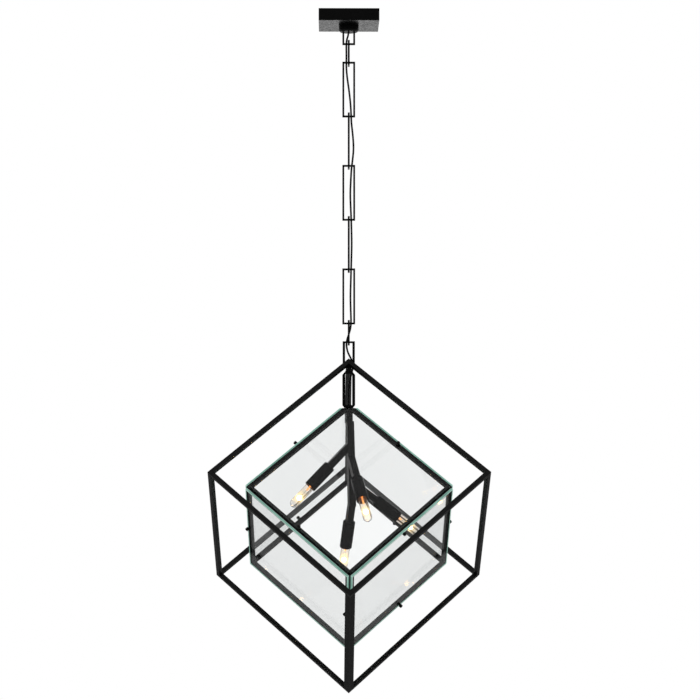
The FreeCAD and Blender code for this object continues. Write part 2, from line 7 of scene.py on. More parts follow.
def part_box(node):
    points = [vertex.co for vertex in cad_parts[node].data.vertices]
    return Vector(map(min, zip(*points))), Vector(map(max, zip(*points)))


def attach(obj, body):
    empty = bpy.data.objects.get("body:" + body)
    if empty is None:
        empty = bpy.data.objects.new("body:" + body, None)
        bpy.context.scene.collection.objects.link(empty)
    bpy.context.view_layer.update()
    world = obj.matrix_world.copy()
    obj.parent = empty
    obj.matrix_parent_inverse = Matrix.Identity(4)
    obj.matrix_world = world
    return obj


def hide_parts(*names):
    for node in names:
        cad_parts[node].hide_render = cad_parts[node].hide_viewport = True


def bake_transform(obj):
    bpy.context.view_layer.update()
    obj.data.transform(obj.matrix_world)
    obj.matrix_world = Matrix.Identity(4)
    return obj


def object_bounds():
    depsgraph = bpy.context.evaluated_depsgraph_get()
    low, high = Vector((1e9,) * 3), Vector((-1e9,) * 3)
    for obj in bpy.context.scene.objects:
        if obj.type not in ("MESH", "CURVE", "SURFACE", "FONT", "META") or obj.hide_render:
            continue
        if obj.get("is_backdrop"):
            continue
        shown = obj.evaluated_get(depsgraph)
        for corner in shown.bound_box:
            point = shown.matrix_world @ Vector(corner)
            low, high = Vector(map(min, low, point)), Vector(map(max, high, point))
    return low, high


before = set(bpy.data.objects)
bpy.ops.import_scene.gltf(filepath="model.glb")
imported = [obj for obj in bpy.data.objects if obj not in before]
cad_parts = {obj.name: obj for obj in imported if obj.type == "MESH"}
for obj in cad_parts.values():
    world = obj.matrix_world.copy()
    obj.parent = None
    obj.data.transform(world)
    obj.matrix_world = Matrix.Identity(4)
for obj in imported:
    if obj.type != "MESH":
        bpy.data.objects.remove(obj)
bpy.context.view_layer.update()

# A hanging lantern: a glazed cube inside an open cube frame, both hung by one corner
# from a chain of rectangular links, with four lit tubular lamps on a branching stem.
# Piece sizes are in millimetres and become metres where a mesh is made.


# Ceiling bracket. A zinc-plated steel strip with slots for the outlet box screws, a
# threaded nipple through its middle and two thin hexagon lock nuts.
MM = 0.001


def new_finish(name):
    """An empty material with its node tree and its shader."""
    finish = bpy.data.materials.new(name)
    finish.use_nodes = True
    return finish, finish.node_tree, finish.node_tree.nodes["Principled BSDF"]


def new_group(name, inputs, output):
    """A shader node group with number inputs and one number output."""
    group = bpy.data.node_groups.new(name, "ShaderNodeTree")
    for label, value in inputs:
        socket = group.interface.new_socket(name=label, in_out="INPUT", socket_type="NodeSocketFloat")
        socket.default_value = value
    group.interface.new_socket(name=output, in_out="OUTPUT", socket_type="NodeSocketFloat")
    return group, group.nodes.new("NodeGroupInput"), group.nodes.new("NodeGroupOutput")


# Blotches: soft patches of a chosen size, between a low and a high value.
blotches, first, last = new_group("blotches", (("Size", 0.006), ("Low", 0.0), ("High", 1.0)), "Value")
place = blotches.nodes.new("ShaderNodeTexCoord")
inverse = blotches.nodes.new("ShaderNodeMath")
inverse.operation = "DIVIDE"
inverse.inputs[0].default_value = 1.0
cloud = blotches.nodes.new("ShaderNodeTexNoise")
cloud.inputs["Detail"].default_value = 4.0
cloud.inputs["Roughness"].default_value = 0.6
spread = blotches.nodes.new("ShaderNodeMapRange")
spread.inputs["From Min"].default_value = 0.34
spread.inputs["From Max"].default_value = 0.66
blotches.links.new(first.outputs["Size"], inverse.inputs[1])
blotches.links.new(place.outputs["Object"], cloud.inputs["Vector"])
blotches.links.new(inverse.outputs[0], cloud.inputs["Scale"])
blotches.links.new(cloud.outputs["Fac"], spread.inputs["Value"])
blotches.links.new(first.outputs["Low"], spread.inputs["To Min"])
blotches.links.new(first.outputs["High"], spread.inputs["To Max"])
blotches.links.new(spread.outputs["Result"], last.inputs["Value"])


def add_blotches(tree, size, low, high, target):
    node = tree.nodes.new("ShaderNodeGroup")
    node.node_tree = blotches
    node.inputs["Size"].default_value = size * MM
    node.inputs["Low"].default_value = low
    node.inputs["High"].default_value = high
    tree.links.new(node.outputs["Value"], target)


def add_two_tones(tree, size, dark, light, target):
    """A colour that wanders between two tones in patches."""
    mix = tree.nodes.new("ShaderNodeMix")
    mix.data_type = "RGBA"
    mix.inputs["A"].default_value = (*dark, 1.0)
    mix.inputs["B"].default_value = (*light, 1.0)
    add_blotches(tree, size, 0.0, 1.0, mix.inputs["Factor"])
    tree.links.new(mix.outputs["Result"], target)


def add_relief(tree, size, depth, shader):
    """Fine unevenness in the surface, by its grain size and depth."""
    bump = tree.nodes.new("ShaderNodeBump")
    bump.inputs["Strength"].default_value = 1.0
    bump.inputs["Distance"].default_value = depth * MM
    add_blotches(tree, size, 0.0, 1.0, bump.inputs["Height"])
    tree.links.new(bump.outputs["Normal"], shader.inputs["Normal"])


def mottled_finish(name, tones, patch, rough, grain, depth, metallic=0.0, specular=0.5):
    finish, tree, shader = new_finish(name)
    shader.inputs["Metallic"].default_value = metallic
    shader.inputs["Specular IOR Level"].default_value = specular
    add_two_tones(tree, patch, tones[0], tones[1], shader.inputs["Base Color"])
    add_blotches(tree, patch * 0.7, rough[0], rough[1], shader.inputs["Roughness"])
    add_relief(tree, grain, depth, shader)
    return finish


def new_piece(name, points, faces, finishes, place=Matrix.Identity(4)):
    """A mesh object from points in millimetres, with its faces turned outwards."""
    mesh = bpy.data.meshes.new(name)
    mesh.from_pydata([Vector(point) * MM for point in points], [], faces)
    work = bmesh.new()
    work.from_mesh(mesh)
    bmesh.ops.remove_doubles(work, verts=work.verts, dist=1e-6)
    bmesh.ops.recalc_face_normals(work, faces=work.faces)
    work.to_mesh(mesh)
    work.free()
    for finish in finishes:
        mesh.materials.append(finish)
    mesh.shade_smooth()
    mesh.set_sharp_from_angle(angle=math.radians(35))
    piece = bpy.data.objects.new(name, mesh)
    piece.matrix_world = place
    bpy.context.scene.collection.objects.link(piece)
    return piece


def ease_edges(piece, width, segments=2):
    """Rounds the sharp edges a little; the rounded strip takes the second finish."""
    ease = piece.modifiers.new("eased_edges", "BEVEL")
    ease.width = width * MM
    ease.segments = segments
    ease.limit_method = "ANGLE"
    ease.angle_limit = math.radians(32)
    ease.harden_normals = True
    ease.material = min(1, len(piece.data.materials) - 1)
    return piece


def loft(rings, closed):
    """Points and faces of a skin over rings of points, closed on itself or capped."""
    count = len(rings[0])
    points = [point for ring in rings for point in ring]
    faces = []
    for level in range(len(rings) if closed else len(rings) - 1):
        low = level * count
        high = (level + 1) % len(rings) * count
        for k in range(count):
            after = (k + 1) % count
            faces.append((low + k, low + after, high + after, high + k))
    if not closed:
        faces.append(tuple(range(count)))
        faces.append(tuple(range(len(points) - count, len(points))))
    return points, faces


def turned(name, profile, finishes, place=Matrix.Identity(4), closed=False, count=48, relief=None):
    """A lathe-turned piece from (radius, height) pairs, with an optional change of radius."""
    rings = []
    for radius, height in profile:
        ring = []
        for k in range(count):
            angle = math.tau * k / count
            reach = relief(radius, angle, height) if relief else radius
            ring.append((reach * math.cos(angle), reach * math.sin(angle), height))
        rings.append(ring)
    return new_piece(name, *loft(rings, closed), finishes, place)


def thread(pitch, depth, low, high):
    """The cut of a screw thread between two heights, as a change of radius."""
    def cut(radius, angle, height):
        if radius <= 0.0 or not low <= height <= high:
            return radius
        phase = height / pitch - angle / math.tau
        return radius - depth * (0.5 - 0.5 * math.cos(math.tau * phase))
    return cut


def steps(start, end, size):
    """Evenly spaced numbers from start to end, both included."""
    count = max(1, round(abs(end - start) / size))
    return [start + (end - start) * k / count for k in range(count + 1)]


def fit(piece, body, slot, *nodes):
    """Fixes a piece to the body it moves with, in place of the solids it stands for."""
    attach(piece, body)
    if nodes:
        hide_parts(*nodes)
    return piece


zinc = mottled_finish("zinc_plate", ((0.42, 0.42, 0.41), (0.58, 0.58, 0.55)), 9.0, (0.24, 0.42),
                      1.2, 0.02, metallic=1.0)
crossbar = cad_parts["mounting_crossbar"]
crossbar.data.materials.clear()
crossbar.data.materials.append(zinc)

NIPPLE_R = 5.1
NIPPLE_LOW = -24.4
BORE_R = 3.0
nipple_profile = [(BORE_R, 0.0), (NIPPLE_R - 0.5, 0.0)]
nipple_profile += [(NIPPLE_R, z) for z in steps(-0.5, NIPPLE_LOW + 0.5, 0.2)]
nipple_profile += [(NIPPLE_R - 0.5, NIPPLE_LOW), (BORE_R, NIPPLE_LOW)]
nipple = turned("bracket_nipple", nipple_profile, [zinc], closed=True, count=32,
                relief=thread(0.95, 0.4, NIPPLE_LOW + 0.6, -0.6))
fit(nipple, "ceiling_mount", "zinc_steel", "threaded_nipple")

NUT_FLATS = 16.0
NUT_HEIGHT = 3.0
for number, low in enumerate((-5.5, -13.9), 1):
    corner = NUT_FLATS / math.sqrt(3)
    rings = []
    for radius, height in ((NIPPLE_R, low), (corner - 0.6, low), (corner, low + 0.6),
                           (corner, low + NUT_HEIGHT - 0.6), (corner - 0.6, low + NUT_HEIGHT),
                           (NIPPLE_R, low + NUT_HEIGHT)):
        ring = []
        for k in range(48):
            angle = math.tau * k / 48
            flat = (NUT_FLATS / 2) / math.cos((angle + math.pi / 6) % (math.pi / 3) - math.pi / 6)
            reach = radius if radius < NUT_FLATS / 2 - 1 else min(radius, flat)
            ring.append((reach * math.cos(angle), reach * math.sin(angle), height))
        rings.append(ring)
    nut = new_piece(f"lock_nut_{number}", *loft(rings, True), [zinc])
    fit(nut, "ceiling_mount", "zinc_steel", "nipple_lock_nuts")


# Ground screw. A green washer-head machine screw threaded into the strip, slotted for
# a screwdriver on its lower, inner side.
green_paint = mottled_finish("green_screw_paint", ((0.02, 0.16, 0.05), (0.04, 0.26, 0.09)), 1.5,
                             (0.3, 0.45), 0.6, 0.01)
GROUND_X = 20.0
HEAD_R = 3.8
screw = turned("green_ground_screw", [(0.0, -4.3), (1.6, -4.35), (2.9, -4.6), (3.4, -4.7), (HEAD_R, -4.3),
                                (HEAD_R, -2.5), (1.9, -2.5), (1.9, 0.0), (0.0, 0.0)], [green_paint],
               Matrix.Translation((GROUND_X * MM, 0, 0)), count=32)
fit(screw, "ceiling_mount", "green_screw", "ground_screw")


# Wire connectors and house wires. Three ribbed twist-on plastic caps, each over the
# stripped ends of two insulated leads that come down from the outlet box.
orange_plastic = mottled_finish("connector_plastic", ((0.52, 0.13, 0.02), (0.62, 0.17, 0.03)), 4.0,
                                (0.42, 0.55), 0.8, 0.01)
wire_finishes = [mottled_finish(name, (dark, light), 3.0, (0.4, 0.5), 0.5, 0.01)
                 for name, dark, light in (("lead_black", (0.01, 0.01, 0.01), (0.02, 0.02, 0.02)),
                                           ("lead_white", (0.6, 0.6, 0.57), (0.72, 0.72, 0.7)),
                                           ("lead_green", (0.01, 0.14, 0.03), (0.02, 0.2, 0.05)))]
CAP_PLACES = ((-30.0, 26.0), (0.0, 34.0), (30.0, 26.0))
CAP_LOW = -21.5
CAP_TOP = -6.5
LEAD_R = 1.4


def cap_ribs(radius, angle, height):
    if radius < 4.0 or height > CAP_TOP - 3.0 or height < CAP_LOW + 1.0:
        return radius
    return radius - 0.35 * (0.5 - 0.5 * math.cos(18 * angle))


for number, (x, y) in enumerate(CAP_PLACES, 1):
    place = Matrix.Translation((x * MM, y * MM, 0))
    wall = [(4.4 + 1.4 * (z - CAP_LOW) / (CAP_TOP - CAP_LOW), z) for z in steps(CAP_LOW + 0.6, CAP_TOP, 1.4)]
    cap = turned(f"wire_connector_{number}", [(0.0, CAP_LOW), (3.9, CAP_LOW), *wall, (3.6, CAP_TOP),
                                              (3.6, CAP_LOW + 6.0), (0.0, CAP_LOW + 6.0)],
                 [orange_plastic], place, count=72, relief=cap_ribs)
    fit(cap, "ceiling_mount", "connector_plastic", "wire_connectors")
    for side in (-1, 1):
        spot = Matrix.Translation(((x + 1.6 * side) * MM, y * MM, 0))
        sheath = [(0.0, -14.4), (LEAD_R - 0.3, -14.4), (LEAD_R, -14.1), (LEAD_R, 0.0), (0.0, 0.0)]
        lead = turned(f"supply_lead_{number}_{'left' if side < 0 else 'right'}", sheath,
                      [wire_finishes[number - 1]], spot, count=16)
        fit(lead, "ceiling_mount", "house_wire", "supply_leads")


# Canopy. A square pan pressed and welded from 1.5 mm sheet, blackened and waxed so that
# its surface is faintly mottled, with a round hole for the loop's stud.
def iron_finish(name, dark, light, patch, rough, grain, depth, specular=0.3):
    return mottled_finish(name, (dark, light), patch, rough, grain, depth, specular=specular)


iron = iron_finish("blackened_iron", (0.002, 0.002, 0.0022), (0.0048, 0.0047, 0.0046), 7.0,
                   (0.36, 0.5), 5.0, 0.008)
iron_edge = iron_finish("rubbed_iron_edge", (0.004, 0.004, 0.0038), (0.012, 0.0115, 0.011), 4.0,
                        (0.34, 0.48), 4.0, 0.005)
pan_iron = iron_finish("canopy_iron", (0.0022, 0.0022, 0.0023), (0.005, 0.0049, 0.0048), 5.5,
                       (0.2, 0.44), 6.0, 0.05)
CANOPY_HALF = 63.5
CANOPY_LOW = -25.4
SHEET = 1.5
HOLE_R = 15.6


def square_ring(half, height, count=96):
    ring = []
    for k in range(count):
        angle = math.tau * k / count
        reach = half / max(abs(math.cos(angle)), abs(math.sin(angle)))
        ring.append((reach * math.cos(angle), reach * math.sin(angle), height))
    return ring


def round_ring(radius, height, count=96):
    return [(radius * math.cos(math.tau * k / count), radius * math.sin(math.tau * k / count), height)
            for k in range(count)]


inside = CANOPY_HALF - SHEET
pan_rings = [square_ring(CANOPY_HALF, 0.0), square_ring(CANOPY_HALF, CANOPY_LOW),
             round_ring(HOLE_R + 8.0, CANOPY_LOW), round_ring(HOLE_R, CANOPY_LOW),
             round_ring(HOLE_R, CANOPY_LOW + SHEET), round_ring(HOLE_R + 8.0, CANOPY_LOW + SHEET),
             square_ring(inside, CANOPY_LOW + SHEET), square_ring(inside, 0.0)]
pan = new_piece("canopy_pan", *loft(pan_rings, True), [pan_iron, iron_edge])
ease_edges(pan, 0.5, 3)
fit(pan, "canopy", "aged_iron", "canopy_cover")


# Collar ring. A turned iron ring, bored and threaded to run up the stud and hold the
# canopy, with a wide chamfer round its lower edge.
COLLAR_LOW = -38.4
COLLAR_R = 21.0
COLLAR_BORE = 14.95
collar = turned("canopy_collar", [(COLLAR_BORE, CANOPY_LOW), (COLLAR_BORE, COLLAR_LOW + 0.6),
                                (COLLAR_BORE + 0.6, COLLAR_LOW), (COLLAR_R - 3.2, COLLAR_LOW),
                                (COLLAR_R - 2.85, COLLAR_LOW + 0.1), (COLLAR_R - 0.1, COLLAR_LOW + 2.85),
                                (COLLAR_R, COLLAR_LOW + 3.2), (COLLAR_R, CANOPY_LOW - 0.5),
                                (COLLAR_R - 0.5, CANOPY_LOW)], [iron, iron_edge], closed=True, count=96)
fit(collar, "canopy", "aged_iron", "collar_ring")


# Canopy loop. A threaded stud drilled for the cord, with a rectangular loop of 4 mm
# square bar welded under it; the stud screws on the nipple and the collar on the stud.
STUD_R = 14.9
STUD_TOP = -17.4
stud_profile = [(BORE_R, STUD_TOP), (STUD_R - 0.8, STUD_TOP)]
stud_profile += [(STUD_R, z) for z in steps(STUD_TOP - 0.8, COLLAR_LOW + 0.8, 0.3)]
stud_profile += [(STUD_R - 0.8, COLLAR_LOW), (BORE_R + 0.4, COLLAR_LOW), (BORE_R, COLLAR_LOW + 0.4)]
stud = turned("canopy_stud", stud_profile, [iron], closed=True, count=64,
              relief=thread(1.5, 0.6, COLLAR_LOW + 1.0, STUD_TOP - 1.0))
fit(stud, "ceiling_mount", "aged_iron", "canopy_loop")


def window(width, low, high):
    half = width / 2
    return [(-half, low), (half, low), (half, high), (-half, high)]


def flat_ring(name, outer, inner, across, depth, finishes):
    """A flat loop between two outlines in an upright plane; across is its level direction."""
    level = Vector(across)
    normal = level.cross(Vector((0, 0, 1))) * (depth / 2)
    rings = []
    for outline, side in ((outer, 1), (outer, -1), (inner, -1), (inner, 1)):
        rings.append([level * x + Vector((0, 0, z)) + normal * side for x, z in outline])
    return new_piece(name, *loft(rings, True), finishes)


LINK_WIDTH = 27.0
LINK_BAR = 4.0
ALONG_X = (1, 0, 0)
ALONG_Y = (0, 1, 0)
loop_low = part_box("canopy_loop")[0].z / MM
loop = flat_ring("canopy_stud_loop", window(LINK_WIDTH, loop_low, COLLAR_LOW + 3.0),
                 window(LINK_WIDTH - 2 * LINK_BAR, loop_low + LINK_BAR, COLLAR_LOW - 0.01),
                 ALONG_X, LINK_BAR, [iron, iron_edge])
ease_edges(loop, 0.35)
fit(loop, "ceiling_mount", "aged_iron", "canopy_loop")


# Chain. Seven rectangular links of 4 mm square iron bar, welded shut and turned a
# quarter from one to the next; the first and the last are short.
LINK_COUNT = 7
for number in range(1, LINK_COUNT + 1):
    node = f"chain_link_{number}"
    low, high = (corner.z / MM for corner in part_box(node))
    link = flat_ring(f"iron_link_{number}", window(LINK_WIDTH, low, high),
                     window(LINK_WIDTH - 2 * LINK_BAR, low + LINK_BAR, high - LINK_BAR),
                     ALONG_Y if number % 2 else ALONG_X, LINK_BAR, [iron, iron_edge])
    ease_edges(link, 0.35)
    fit(link, f"link_{number}", "aged_iron", node)


# Outer cube. Twelve bars of 9.5 mm square iron, sawn square, butted and welded at the
# corners and ground flush; the bottom front bar is an angle with its corner outwards.
RIGHT = Vector((1 / math.sqrt(2), -1 / math.sqrt(6), -1 / math.sqrt(3)))
LEFT = Vector((-1 / math.sqrt(2), -1 / math.sqrt(6), -1 / math.sqrt(3)))
BACK = Vector((0, 2 / math.sqrt(6), -1 / math.sqrt(3)))
BAR = 9.5
OUTER_SIDE = 406.4
OUTER_APEX = Vector((0, 0, -730.1))
CUBE_CENTRE = OUTER_APEX - Vector((0, 0, OUTER_SIDE * math.sqrt(3) / 2))


def box_corners(apex, ranges):
    """The eight corners of a box measured from an apex along RIGHT, LEFT and BACK."""
    (r0, r1), (l0, l1), (b0, b1) = ranges
    return [apex + RIGHT * r + LEFT * l + BACK * b for b in (b0, b1)
            for r, l in ((r0, l0), (r1, l0), (r1, l1), (r0, l1))]


def box_faces(start):
    quads = ((0, 1, 2, 3), (4, 5, 6, 7), (0, 1, 5, 4), (1, 2, 6, 5), (2, 3, 7, 6), (3, 0, 4, 7))
    return [tuple(start + corner for corner in quad) for quad in quads]


def frame_ranges(side):
    """Where the bars of a cube frame lie, by name; those along BACK run through."""
    near = (0, BAR)
    far = (side - BAR, side)
    whole = (0, side)
    between = (BAR, side - BAR)
    return {
        "top_back": (near, near, whole), "side_left": (near, far, whole),
        "side_right": (far, near, whole), "bottom_front": (far, far, whole),
        "top_right": (between, near, near), "front_left": (between, far, near),
        "back_right": (between, near, far), "bottom_left": (between, far, far),
        "top_left": (near, between, near), "front_right": (far, between, near),
        "back_left": (near, between, far), "bottom_right": (far, between, far),
    }


def bars_piece(name, apex, all_ranges, finishes):
    points, faces = [], []
    for ranges in all_ranges:
        faces += box_faces(len(points))
        points += box_corners(apex, ranges)
    return new_piece(name, points, faces, finishes)


EASE = 0.6
outer_bars = {}
for name, ranges in frame_ranges(OUTER_SIDE).items():
    if name == "bottom_front":
        continue
    bar = bars_piece(f"outer_frame_{name}", OUTER_APEX, [ranges], [iron, iron_edge])
    ease_edges(bar, EASE)
    outer_bars[name] = fit(bar, "cage", "aged_iron", f"outer_bar_{name}")

ANGLE_LEG = 14.3
ANGLE_SKIN = 3.0
leg = OUTER_SIDE - ANGLE_LEG
skin = OUTER_SIDE - ANGLE_SKIN
section = ((leg, skin), (skin, skin), (skin, leg), (OUTER_SIDE, leg), (OUTER_SIDE, OUTER_SIDE),
           (leg, OUTER_SIDE))
angle_rings = [[OUTER_APEX + RIGHT * r + LEFT * l + BACK * b for r, l in section]
               for b in (BAR, OUTER_SIDE - BAR)]
angle_iron = iron_finish("angle_iron", (0.002, 0.002, 0.0022), (0.0045, 0.0044, 0.0043), 7.0,
                         (0.36, 0.5), 5.0, 0.008, 0.12)
angle_bar = new_piece("outer_frame_angle_bar", *loft(angle_rings, False), [angle_iron, iron_edge])
ease_edges(angle_bar, 0.5)
fit(angle_bar, "cage", "aged_iron", "outer_bar_bottom_front")
far = (OUTER_SIDE - BAR, OUTER_SIDE)
end_blocks = bars_piece("outer_frame_corner_blocks", OUTER_APEX, [(far, far, (0, BAR)), (far, far, far)],
                        [iron, iron_edge])
ease_edges(end_blocks, EASE)
fit(end_blocks, "cage", "aged_iron", "outer_bar_bottom_front")


# Top loop. A square-shouldered loop of flat bar that straddles the outer cube's top
# corner, its legs scribed to the bars and welded.
def prism(name, outline, across, depth, finishes):
    """A flat piece sawn to an outline in an upright plane."""
    level = Vector(across)
    normal = level.cross(Vector((0, 0, 1))) * (depth / 2)
    rings = [[level * x + Vector((0, 0, z)) + normal * side for x, z in outline] for side in (1, -1)]
    return new_piece(name, *loft(rings, False), finishes)


def scribe(piece, bars, keep_low):
    """Cuts a piece to the bars that it is welded to, and keeps its upper or its lower part."""
    for bar in bars:
        cut = piece.modifiers.new("scribed", "BOOLEAN")
        cut.operation = "DIFFERENCE"
        cut.solver = "EXACT"
        cut.object = bar
    bpy.context.view_layer.update()
    shaped = piece.evaluated_get(bpy.context.evaluated_depsgraph_get())
    mesh = bpy.data.meshes.new_from_object(shaped)
    piece.modifiers.clear()
    work = bmesh.new()
    work.from_mesh(mesh)
    work.verts.ensure_lookup_table()
    pick = min if keep_low else max
    kept = set()
    front = [pick(work.verts, key=lambda vert: vert.co.z)]
    while front:
        vert = front.pop()
        if vert not in kept:
            kept.add(vert)
            front += [edge.other_vert(vert) for edge in vert.link_edges]
    bmesh.ops.delete(work, geom=[vert for vert in work.verts if vert not in kept], context="VERTS")
    work.to_mesh(mesh)
    work.free()
    piece.data = mesh
    return piece


top_bars = [outer_bars[name] for name in ("top_back", "top_right", "top_left")]
loop_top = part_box("cage_top_loop")[1].z / MM
loop_foot = OUTER_APEX.z - 20.0
half = 12.9
gap = half - 5.2
staple = [(-half, loop_foot), (-gap, loop_foot), (-gap, loop_top - LINK_BAR), (gap, loop_top - LINK_BAR),
          (gap, loop_foot), (half, loop_foot), (half, loop_top), (-half, loop_top)]
top_loop = prism("corner_loop", staple, ALONG_X, 5.0, [iron, iron_edge])
ease_edges(top_loop, 0.4)
scribe(top_loop, top_bars, keep_low=False)
fit(top_loop, "cage", "aged_iron", "cage_top_loop")


# Inner cube. Twelve more bars of the same stock; its top corner is sawn off level so
# that the hanger and the stem can be welded to it.
INNER_SIDE = 298.0
INNER_APEX = CUBE_CENTRE + Vector((0, 0, INNER_SIDE * math.sqrt(3) / 2))
SAW_Z = INNER_APEX.z - 11.2


def saw_level(piece, height):
    """Saws a piece off at a height and closes the cut."""
    work = bmesh.new()
    work.from_mesh(piece.data)
    cut = bmesh.ops.bisect_plane(work, geom=[*work.verts, *work.edges, *work.faces], dist=1e-7,
                                 plane_co=(0, 0, height * MM), plane_no=(0, 0, 1), clear_outer=True)
    edges = [item for item in cut["geom_cut"] if isinstance(item, bmesh.types.BMEdge)]
    bmesh.ops.edgenet_fill(work, edges=edges)
    bmesh.ops.recalc_face_normals(work, faces=work.faces)
    work.to_mesh(piece.data)
    work.free()


inner_ranges = frame_ranges(INNER_SIDE)
groups = {"inner_bars_top": [], "inner_bars_bottom": [], "inner_bars_waist": []}
for name, ranges in inner_ranges.items():
    part = name.split("_")[0]
    group = f"inner_bars_{part}" if part in ("top", "bottom") else "inner_bars_waist"
    groups[group].append(ranges)
for name, all_ranges in groups.items():
    bars = bars_piece(name.replace("bars", "frame"), INNER_APEX, all_ranges, [iron, iron_edge])
    if name == "inner_bars_top":
        saw_level(bars, SAW_Z)
    ease_edges(bars, EASE)
    fit(bars, "cage", "aged_iron", name)


# Hanger. A heavy loop with chamfered shoulders, cut from 10 mm plate and drilled for the
# cord, that carries the inner cube, and the square stub that joins it to the outer corner.
HANGER_TOP = SAW_Z + 78.5
HANGER_HALF = 13.5
HANGER_LEG = 6.3
HANGER_DEPTH = 10.0
outer = [(-HANGER_HALF + 4.5, SAW_Z), (HANGER_HALF - 4.5, SAW_Z), (HANGER_HALF, SAW_Z + 5.7),
         (HANGER_HALF, HANGER_TOP - 8.5), (HANGER_HALF - 7.0, HANGER_TOP),
         (-HANGER_HALF + 7.0, HANGER_TOP), (-HANGER_HALF, HANGER_TOP - 8.5), (-HANGER_HALF, SAW_Z + 5.7)]
side = HANGER_HALF - HANGER_LEG
low, high = SAW_Z + HANGER_LEG, HANGER_TOP - HANGER_LEG
inner = [(-side, low), (side, low), (side, low), (side, high), (side, high), (-side, high),
         (-side, high), (-side, low)]
hanger = flat_ring("hanger_loop", outer, inner, ALONG_X, HANGER_DEPTH, [iron, iron_edge])
drill = turned("cord_drill", [(0.0, SAW_Z - 5.0), (BORE_R, SAW_Z - 5.0), (BORE_R, low + 3.0),
                              (0.0, low + 3.0)], [iron, iron_edge], count=32)
ease_edges(hanger, 0.5)
scribe(hanger, [drill], keep_low=False)
bpy.data.objects.remove(drill)
fit(hanger, "cage", "aged_iron", "inner_cage_hanger")
half = BAR / 2
stub_top = OUTER_APEX.z - 6.0
stub_rings = [[(-half, -half, z), (half, -half, z), (half, half, z), (-half, half, z)]
              for z in (HANGER_TOP - 0.5, stub_top)]
stub = new_piece("hanger_stub", *loft(stub_rings, False), [iron, iron_edge])
ease_edges(stub, 0.5)
scribe(stub, top_bars, keep_low=True)
fit(stub, "cage", "aged_iron", "inner_cage_hanger")


# Panes. Six 5 mm float glass squares with ground and polished edges, laid on the outside
# of the inner cube; their edges show the green of the glass, with a painted green glow for the light carried
# inside it.
PANE = 5.0
SETBACK = 2.2


def glass_finish(name, tones):
    """Solid glass with the faint green of its body, that lets lamplight through."""
    finish, tree, shader = new_finish(name)
    shader.inputs["IOR"].default_value = 1.33
    shader.inputs["Transmission Weight"].default_value = 1.0
    shader.inputs["Roughness"].default_value = 0.0
    add_two_tones(tree, 120.0, tones[0], tones[1], shader.inputs["Base Color"])
    shade = tree.nodes.new("ShaderNodeLightPath")
    let_through = tree.nodes.new("ShaderNodeBsdfTransparent")
    let_through.inputs["Color"].default_value = (0.92, 0.95, 0.94, 1.0)
    either = tree.nodes.new("ShaderNodeMixShader")
    tree.links.new(shade.outputs["Is Shadow Ray"], either.inputs["Fac"])
    tree.links.new(shader.outputs["BSDF"], either.inputs[1])
    tree.links.new(let_through.outputs["BSDF"], either.inputs[2])
    tree.links.new(either.outputs["Shader"], tree.nodes["Material Output"].inputs["Surface"])
    body = tree.nodes.new("ShaderNodeVolumeAbsorption")
    body.inputs["Color"].default_value = (0.12, 0.8, 0.62, 1.0)
    body.inputs["Density"].default_value = 1.5
    tree.links.new(body.outputs["Volume"], tree.nodes["Material Output"].inputs["Volume"])
    return finish, tree, shader


def painted_glow_finish(name, tones, strength):
    """A polished pane edge with a painted green glow: emission that stands in for light carried along inside
    the glass.
    """
    finish, tree, shader = new_finish(name)
    # Painted glow: the edge gives off green light of its own, though it is no lamp.
    shader.inputs["Emission Strength"].default_value = strength
    for target in ("Base Color", "Emission Color"):
        add_two_tones(tree, 40.0, tones[0], tones[1], shader.inputs[target])
    add_blotches(tree, 3.0, 0.16, 0.34, shader.inputs["Roughness"])
    return finish


clear_glass = glass_finish("pane_glass", ((0.99, 0.995, 0.995), (1.0, 1.0, 1.0)))[0]
dark_edge, tree, shader = glass_finish("pane_edge_on_iron", ((0.78, 0.9, 0.86), (0.88, 0.96, 0.93)))
add_blotches(tree, 3.0, 0.1, 0.25, shader.inputs["Roughness"])
# Painted green glow on the panes' arrises and edge faces.
painted_glow_arris = painted_glow_finish("pane_arris_painted_glow", ((0.4, 0.6, 0.52), (0.55, 0.72, 0.65)), 0.8)
painted_glow_edge_faces = painted_glow_finish("pane_edge_painted_glow", ((0.14, 0.31, 0.25), (0.26, 0.48, 0.4)), 0.7)

span = (SETBACK, INNER_SIDE - SETBACK)
near = (-PANE, 0)
far = (INNER_SIDE, INNER_SIDE + PANE)
panes = {
    "glass_front_upper": (span, span, near), "glass_back_lower": (span, span, far),
    "glass_left_upper": (near, span, span), "glass_right_lower": (far, span, span),
    "glass_right_upper": (span, near, span), "glass_left_lower": (span, far, span),
}
for name, ranges in panes.items():
    finishes = [clear_glass, painted_glow_arris, painted_glow_edge_faces]
    if name == "glass_front_upper":
        finishes = [clear_glass, dark_edge, dark_edge]
    pane = bars_piece(name.replace("glass", "pane"), INNER_APEX, [ranges], finishes)
    if not name.endswith("lower"):
        saw_level(pane, SAW_Z)
    widest = max(face.area for face in pane.data.polygons)
    for face in pane.data.polygons:
        face.material_index = 0 if face.area > 0.5 * widest else 2
    ease_edges(pane, 0.7, 1)
    fit(pane, "cage", "pane_glass", name)


# Glass knobs. Twelve turned and knurled thumb screws that go through the panes into
# the inner bars, two to each pane.
KNOB_R = 3.7
KNOB_HEIGHT = 6.0
SHANK_R = 1.7


def knurl(radius, angle, height):
    if radius < KNOB_R - 0.1 or not 0.8 < height < 5.2:
        return radius
    return radius - 0.22 * (0.5 - 0.5 * math.cos(24 * angle))


